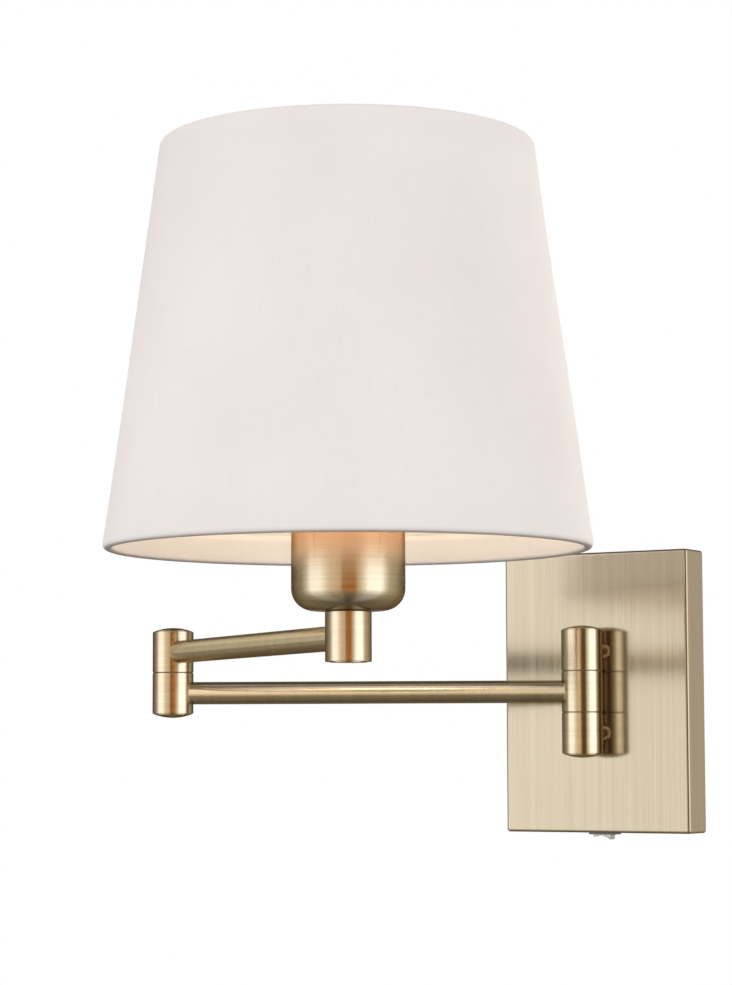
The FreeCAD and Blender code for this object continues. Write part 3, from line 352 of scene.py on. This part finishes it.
def paint_cad_nodes():
    """Gives every CAD node its finish: by slot, with the brass brushed the way each piece is made."""
    up = (0, 0, 1)
    turned = {"grain": (14, 14, 2600), "tangent": up, "uneven": 0.72}
    lower_turn = math.atan2(LOWER_WAY.y, LOWER_WAY.x)
    upper_turn = math.atan2(UPPER_WAY.y, UPPER_WAY.x)
    rod = {"grain": (1300, 26, 26), "rough": 0.20}
    centre = (COLUMN.x, COLUMN.y, 0)
    cup_low, cup_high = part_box("cup")
    # The cup's tint stands for the lit shade mirrored in it. Its red takes the lightest brass to 1.13.
    brass = {
        "plate": brushed_brass("brass_plate", (1, 1, 0), grain=(2200, 2200, 14), rough=0.14, uneven=0.75,
                               stretch=0.3, tone=0.70, edge=(0.90, 0.86, 0.82)),
        "turned": brushed_brass("brass_turned", **turned, rough=0.17),
        "cup": brushed_brass("brass_cup", **turned, centre=centre, rough=0.17, stretch=0.75,
                             painted_reflection=(cup_low.z + 0.012, cup_high.z - 0.004, (1.45, 0.76, 0.44))),
        "column": brushed_brass("brass_column", **turned, centre=centre, rough=0.18),
        "lower": brushed_brass("brass_lower_rod", tangent=LOWER_WAY, turn=lower_turn, **rod),
        "upper": brushed_brass("brass_upper_rod", tangent=UPPER_WAY, turn=upper_turn, **rod),
    }
    special = {
        "backplate": "plate", "cover_screws": "plate", "cup": "cup", "column": "column",
        "column_plug": "column", "lower_arm_tube": "lower", "upper_arm_tube": "upper",
    }
    others = {
        "plain_brass": plain_metal("bright_brass", (0.80, 0.63, 0.34), 0.22),
        "zinc_steel": plain_metal("zinc_steel", (0.66, 0.67, 0.68), 0.34),
        "copper_contact": plain_metal("contact_metal", (0.83, 0.58, 0.42), 0.28),
        "bulb_metal": plain_metal("bulb_cap_metal", (0.82, 0.82, 0.80), 0.28),
        "shade_frame": plain_metal("coated_wire", (0.86, 0.85, 0.82), 0.38, metallic=0.0),
        "white_nylon": moulded("white_nylon", (0.86, 0.86, 0.84), 0.42),
        "switch_plastic": moulded("switch_plastic", (0.84, 0.85, 0.82), 0.10, clear=0.45),
        "smoke": moulded("smoke_plastic", (0.20, 0.20, 0.18), 0.10, clear=0.35),
        "dark_seam": moulded("seam_washer", (0.16, 0.12, 0.08), 0.6),
        "holder_plastic": moulded("holder_plastic", (0.82, 0.80, 0.75), 0.38),
        "ceramic": moulded("glazed_ceramic", (0.88, 0.87, 0.84), 0.14),
        "wire_sheath": moulded("wire_sheath", (0.80, 0.79, 0.75), 0.42),
        "grommet_rubber": moulded("grommet_rubber", (0.035, 0.035, 0.035), 0.62),
        "bulb_opal": bulb_material(),
        "shade_fabric": shade_cloth_material(),
        "shade_lining": lining_material(),
    }
    for part in frame["record"]["subparts"]:
        node, slot = part["node"], part["material_slot"]
        if slot == "antique_brass":
            material = brass[special.get(node, "turned")]
        else:
            material = others["smoke" if node == "switch_housing" else slot]
        mesh = NODES[node].data
        mesh.materials.clear()
        mesh.materials.append(material)
    return others


# Studio

# What polished metal mirrors: the brightness round the lamp by azimuth in degrees (0 is straight in
# front of the plate, positive towards +X), and how much of it is left at each elevation. It began as
# the stripes read on the photographed lamp's turned pieces and was then changed: a dim room
# behind, a softbox on the left, a warm card in front, a dark flag and a softbox on the right.
STUDIO_ROUND = [
    (-180, (0.22, 0.19, 0.15)), (-145, (0.30, 0.27, 0.21)), (-100, (0.24, 0.21, 0.15)),
    (-76, (0.38, 0.33, 0.25)), (-62, (0.74, 0.70, 0.61)), (-50, (1.50, 1.50, 1.46)),
    (-28, (1.56, 1.56, 1.50)), (-18, (1.25, 1.18, 1.06)), (-7, (0.92, 0.78, 0.60)),
    (6, (0.84, 0.64, 0.44)), (17, (0.76, 0.54, 0.33)), (22, (0.20, 0.12, 0.05)),
    (30, (0.11, 0.07, 0.03)), (46, (0.13, 0.08, 0.03)), (52, (0.66, 0.52, 0.34)),
    (63, (1.10, 1.02, 0.88)), (74, (1.70, 1.74, 1.74)), (103, (1.74, 1.80, 1.80)),
    (113, (1.05, 1.00, 0.92)), (124, (0.62, 0.54, 0.40)), (142, (0.48, 0.41, 0.29)),
    (160, (0.34, 0.29, 0.21)), (180, (0.22, 0.19, 0.15)),
]
STUDIO_RISE = [(-90, 0.18), (-62, 0.42), (-45, 0.60), (-30, 0.78), (-14, 0.95), (25, 1.0), (40, 0.72),
               (55, 0.34), (68, 0.24), (80, 0.40), (90, 0.50)]
FILL_RISE = [(-90, 0.34), (-30, 0.66), (0, 1.0), (90, 1.0)]
LOW_SHARE = [(-40, 0.65), (-10, 0.0)]
LOW_COLOUR = (0.24, 0.205, 0.135, 1)
FILL_STRENGTH = 0.71
STUDIO_PEAK = 1.8


def make_world():
    """White to the camera, a neutral fill on matt surfaces, and the studio in mirrored rays."""
    world = bpy.data.worlds.new("studio")
    bpy.context.scene.world = world
    world.use_nodes = True
    nodes = Nodes(world.node_tree)
    parts = nodes.node("ShaderNodeSeparateXYZ")
    nodes.link(nodes.node("ShaderNodeTexCoord").outputs["Generated"], parts.inputs[0])
    x, y, z = parts.outputs
    azimuth = nodes.math("ARCTAN2", x, nodes.math("MULTIPLY", y, -1.0))
    around = nodes.math("MULTIPLY_ADD", azimuth, 1 / math.tau, 0.5)
    rise = nodes.math("MULTIPLY_ADD", nodes.math("ARCSINE", z), 1 / math.pi, 0.5)
    stops = [(a / 360 + 0.5, tuple(c / STUDIO_PEAK for c in colour)) for a, colour in STUDIO_ROUND]
    colour = nodes.ramp(around, stops)
    share, fill_share, low_share = (
        nodes.ramp(rise, [(e / 180 + 0.5, (s, s, s)) for e, s in steps])
        for steps in (STUDIO_RISE, FILL_RISE, LOW_SHARE)
    )
    olive = nodes.node("ShaderNodeMix", data_type="RGBA")
    nodes.link(low_share, olive.inputs[0])
    nodes.link(colour, olive.inputs[6])
    olive.inputs[7].default_value = LOW_COLOUR
    colour = olive.outputs[2]
    rays = nodes.node("ShaderNodeLightPath")
    white = nodes.background((1, 1, 1), 1.0)
    fill = nodes.background((1.0, 0.985, 0.97), nodes.math("MULTIPLY", fill_share, FILL_STRENGTH))
    mirrored = nodes.background(colour, nodes.math("MULTIPLY", share, STUDIO_PEAK))
    unseen = nodes.mix(rays.outputs["Is Glossy Ray"], fill, mirrored)
    shown = nodes.mix(rays.outputs["Is Camera Ray"], unseen, white)
    nodes.link(shown, nodes.node("ShaderNodeOutputWorld").inputs[0])


def softbox(name, azimuth, elevation, distance, width, height, radiance, target=None, only=(),
            colour=(1, 1, 1)):
    """A rectangular light aimed at the lamp, or at a target. With only, just those nodes mirror it;
    without, it lights matt surfaces and no metal mirrors it. Angles are in degrees, lengths in metres."""
    aim_height = 0.04
    data = bpy.data.lights.new(name, "AREA")
    data.shape = "RECTANGLE"
    data.size, data.size_y = width, height
    data.energy = radiance * math.pi * width * height
    data.color = colour
    light = bpy.data.objects.new(name, data)
    bpy.context.scene.collection.objects.link(light)
    turn, lift = math.radians(azimuth), math.radians(elevation)
    way = Vector((math.sin(turn) * math.cos(lift), -math.cos(turn) * math.cos(lift), math.sin(lift)))
    light.location = (target or Vector((COLUMN.x, COLUMN.y / 2, aim_height))) + way * distance
    light.rotation_mode = "QUATERNION"
    light.rotation_quaternion = way.to_track_quat("Z", "Y")
    light.visible_camera = False
    if only:
        seen_by = bpy.data.collections.new(name)
        for node in only:
            seen_by.objects.link(NODES[node])
        light.light_linking.receiver_collection = seen_by
        light.visible_diffuse = False
    else:
        light.visible_glossy = False


WARM_STRIPED = ["cup", "column", "elbow_knuckle_low", "elbow_knuckle_top"]


def make_lights():
    """Light for matt surfaces, then reflections for single pieces, placed to suit the photograph's pose."""
    softbox("left_wide", -30, 4, 1.15, 2.3, 1.9, 0.74)
    softbox("right_wide", 78, 4, 1.15, 1.45, 1.9, 0.80)
    softbox("front_fill", 28, 8, 1.9, 1.2, 1.2, 0.60)
    softbox("rear_right", 168, 10, 1.3, 1.0, 1.6, 2.4, colour=(1.0, 0.94, 0.84))
    softbox("rear_left", -140, 5, 1.3, 1.0, 1.6, 1.1)
    softbox("side_glint", 148, 2, 1.4, 0.9, 1.6, 0.34, only=["backplate"])
    softbox("stripe", 34, 2, 1.4, 0.62, 1.6, 0.33, only=WARM_STRIPED, colour=(1.0, 0.33, 0.05))
    pale, olive = (1.0, 0.96, 0.84), (1.0, 0.98, 0.86)
    near = middle("lower_arm_tube")
    softbox("lower_glint", 23, 23, 1.2, 1.1, 0.52, 0.98, near, ["lower_arm_tube"], pale)
    softbox("lower_middle", 23, 0, 1.2, 1.1, 0.42, 0.78, near, ["lower_arm_tube"], olive)
    softbox("lower_under", 23, -18, 1.2, 1.1, 0.34, 0.38, near, ["lower_arm_tube"], olive)
    near = middle("upper_arm_tube")
    softbox("upper_glint", -99, 28, 1.2, 0.9, 0.58, 0.88, near, ["upper_arm_tube"], pale)
    softbox("upper_middle", -99, 4, 1.2, 0.9, 0.42, 0.50, near, ["upper_arm_tube"], olive)
    softbox("upper_under", -99, -14, 1.2, 0.9, 0.30, 0.16, near, ["upper_arm_tube"], olive)


FLOOR_RADIUS, FLOOR_DEPTH = 9.0, 2.3


def make_floor():
    """A pale round floor well below the lamp."""
    shape = bmesh.new()
    bmesh.ops.create_circle(shape, cap_ends=True, segments=96, radius=FLOOR_RADIUS)
    mesh = bpy.data.meshes.new("floor")
    shape.to_mesh(mesh)
    shape.free()
    floor = bpy.data.objects.new("floor", mesh)
    bpy.context.scene.collection.objects.link(floor)
    floor.location = (0, 0, -FLOOR_DEPTH)
    floor.visible_glossy = floor.visible_diffuse = False
    paint = Paint("studio_floor")
    grain = paint.noise(paint.spots(), 9.0, 3.0)
    pale = paint.ramp(grain, [(0.3, (0.90, 0.895, 0.885)), (0.7, (0.93, 0.925, 0.92))])
    paint.set("Base Color", (0.12, 0.12, 0.12))
    paint.set("Emission Color", pale)
    paint.set("Emission Strength", 0.88)
    paint.set("Roughness", 0.85)
    mesh.materials.append(paint.material)


# Pieces made here


def new_piece(name, shape, material, body, slot, *replaced):
    """Turns a bmesh into a smooth shaded piece that rides on a body."""
    mesh = bpy.data.meshes.new(name)
    bmesh.ops.recalc_face_normals(shape, faces=shape.faces)
    shape.to_mesh(mesh)
    shape.free()
    for face in mesh.polygons:
        face.use_smooth = True
    mesh.materials.append(material)
    piece = bpy.data.objects.new(name, mesh)
    bpy.context.scene.collection.objects.link(piece)
    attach(piece, body)
    if replaced:
        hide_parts(*replaced)
    return piece


def spun(profile, steps, centre, wobble=None):
    """A closed loop (radius, height) turned once round a vertical axis through centre."""
    shape = bmesh.new()
    rings = []
    for k in range(steps):
        angle = math.tau * k / steps
        ring = []
        for j, (radius, height) in enumerate(profile):
            if wobble:
                radius = wobble(j, radius, height, angle)
            place = (centre.x + radius * math.cos(angle), centre.y + radius * math.sin(angle), height)
            ring.append(shape.verts.new(place))
        rings.append(ring)
    count = len(profile)
    for k in range(steps):
        near, far = rings[k], rings[(k + 1) % steps]
        for j in range(count):
            shape.faces.new((near[j], far[j], far[(j + 1) % count], near[(j + 1) % count]))
    return shape


def arc_points(centre, radius, start, end, count):
    """Points (radius, height) on an arc, angles in degrees from outwards, anticlockwise."""
    points = []
    for k in range(count + 1):
        angle = math.radians(start + (end - start) * k / count)
        points.append((centre[0] + radius * math.cos(angle), centre[1] + radius * math.sin(angle)))
    return points


def make_shade(cloth, lining):
    """The cloth: an outer cone turned over the two wire rings into narrow hems inside."""
    low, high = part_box("shade_cloth")
    foot, crown = low.z, high.z
    top_low, top_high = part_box("shade_wire_top")
    wire = (top_high.z - top_low.z) / 2
    thick, gap = 0.0006, 0.00015
    roll = wire + thick + gap
    ring_low, ring_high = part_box("shade_wire_low")
    ring_radius = (ring_high.x - ring_low.x) / 2 - wire
    top_radius = (top_high.x - top_low.x) / 2 - wire
    ring_z, top_z = middle("shade_wire_low").z, middle("shade_wire_top").z
    lean = math.degrees(math.atan2(ring_radius - top_radius, top_z - ring_z))
    hem = 0.011
    steps_up = 24

    def wall(distance):
        """Points up the cone at a distance outside the line through the rings' centres."""
        side = (math.cos(math.radians(lean)) * distance, math.sin(math.radians(lean)) * distance)
        return [
            (ring_radius + (top_radius - ring_radius) * t + side[0], ring_z + (top_z - ring_z) * t + side[1])
            for t in (k / steps_up for k in range(steps_up + 1))
        ]

    def inner(distance, start, reach):
        """A short hem going away from a ring on the inside of the cone."""
        ring = (ring_radius, ring_z) if start == "low" else (top_radius, top_z)
        sign = 1 if start == "low" else -1
        along = (-math.sin(math.radians(lean)) * sign, math.cos(math.radians(lean)) * sign)
        side = (-math.cos(math.radians(lean)) * distance, -math.sin(math.radians(lean)) * distance)
        return [
            (ring[0] + side[0] + along[0] * reach * t, ring[1] + side[1] + along[1] * reach * t)
            for t in (0, 0.25, 0.5, 0.75, 1)
        ]

    outside, inside = roll, roll - thick
    loop = wall(outside)
    loop += arc_points((top_radius, top_z), outside, lean, lean + 180, 12)[1:]
    loop += inner(outside, "top", hem)[1:]
    loop += list(reversed(inner(inside, "top", hem)))
    loop += list(reversed(arc_points((top_radius, top_z), inside, lean, lean + 180, 12)))[1:-1]
    loop += list(reversed(wall(inside)))
    loop += list(reversed(arc_points((ring_radius, ring_z), inside, lean - 180, lean, 12)))[1:]
    loop += inner(inside, "low", hem)[1:]
    loop += list(reversed(inner(outside, "low", hem)))
    loop += arc_points((ring_radius, ring_z), outside, lean - 180, lean, 12)[1:-1]

    dip, slack_size, pull_size = 0.0004, 0.0005, 0.00012
    seam_at, seam_half, seam_proud = 90, 2.6, 0.00045

    def sway(j, radius, height, angle):
        """Cloth pulled over the frame: small dips, pulls along the hems and a lapped seam at the back."""
        t = (height - foot) / (crown - foot)
        belly = math.sin(math.pi * min(max(t, 0), 1))
        spot = Vector((math.cos(angle) * 2.2, math.sin(angle) * 2.2, t * 1.6))
        slack = noise.noise(spot) * slack_size * belly
        near_edge = max(0.0, 1 - min(t, 1 - t) / 0.06)
        pull = noise.noise(Vector((math.cos(angle) * 14, math.sin(angle) * 14, 3.1))) * pull_size * near_edge
        lap = seam_proud if j <= steps_up and abs(math.degrees(angle) - seam_at) < seam_half else 0.0
        return radius - dip * belly + slack + pull + lap

    shape = spun(loop, 360, COLUMN, sway)
    cover = new_piece("shade_cover", shape, cloth, "upper_arm", "shade_fabric", "shade_cloth")
    make_lining(lining, (ring_radius - top_radius) / (top_z - ring_z))


def make_lining(material, slope):
    """The stiff lining laid against the inside of the cloth, from hem to hem."""
    low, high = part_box("shade_liner")
    foot, crown = low.z, high.z
    foot_radius = (high.x - low.x) / 2
    crown_radius = foot_radius - slope * (crown - foot)
    thick, steps_up = 0.0004, 20
    loop = [
        (foot_radius + (crown_radius - foot_radius) * t, foot + (crown - foot) * t)
        for t in (k / steps_up for k in range(steps_up + 1))
    ]
    loop += [(radius - thick, height) for radius, height in reversed(loop)]

    dip, wave = 0.0010, 0.0003

    def sway(j, radius, height, angle):
        """Follows the cloth's dips and waves a little between the spokes."""
        t = (height - foot) / (crown - foot)
        belly = math.sin(math.pi * min(max(t, 0), 1))
        spot = Vector((math.cos(angle) * 2.6, math.sin(angle) * 2.6, t * 2.1))
        return radius - dip * belly + noise.noise(spot) * wave * belly

    piece = new_piece("shade_lining", spun(loop, 300, COLUMN, sway), material, "upper_arm", "shade_lining",
                      "shade_liner")


make_camera()
make_world()
make_lights()
finishes = paint_cad_nodes()
make_shade(finishes["shade_fabric"], finishes["shade_lining"])
make_floor()
bpy.context.scene.view_settings.view_transform = "Standard"
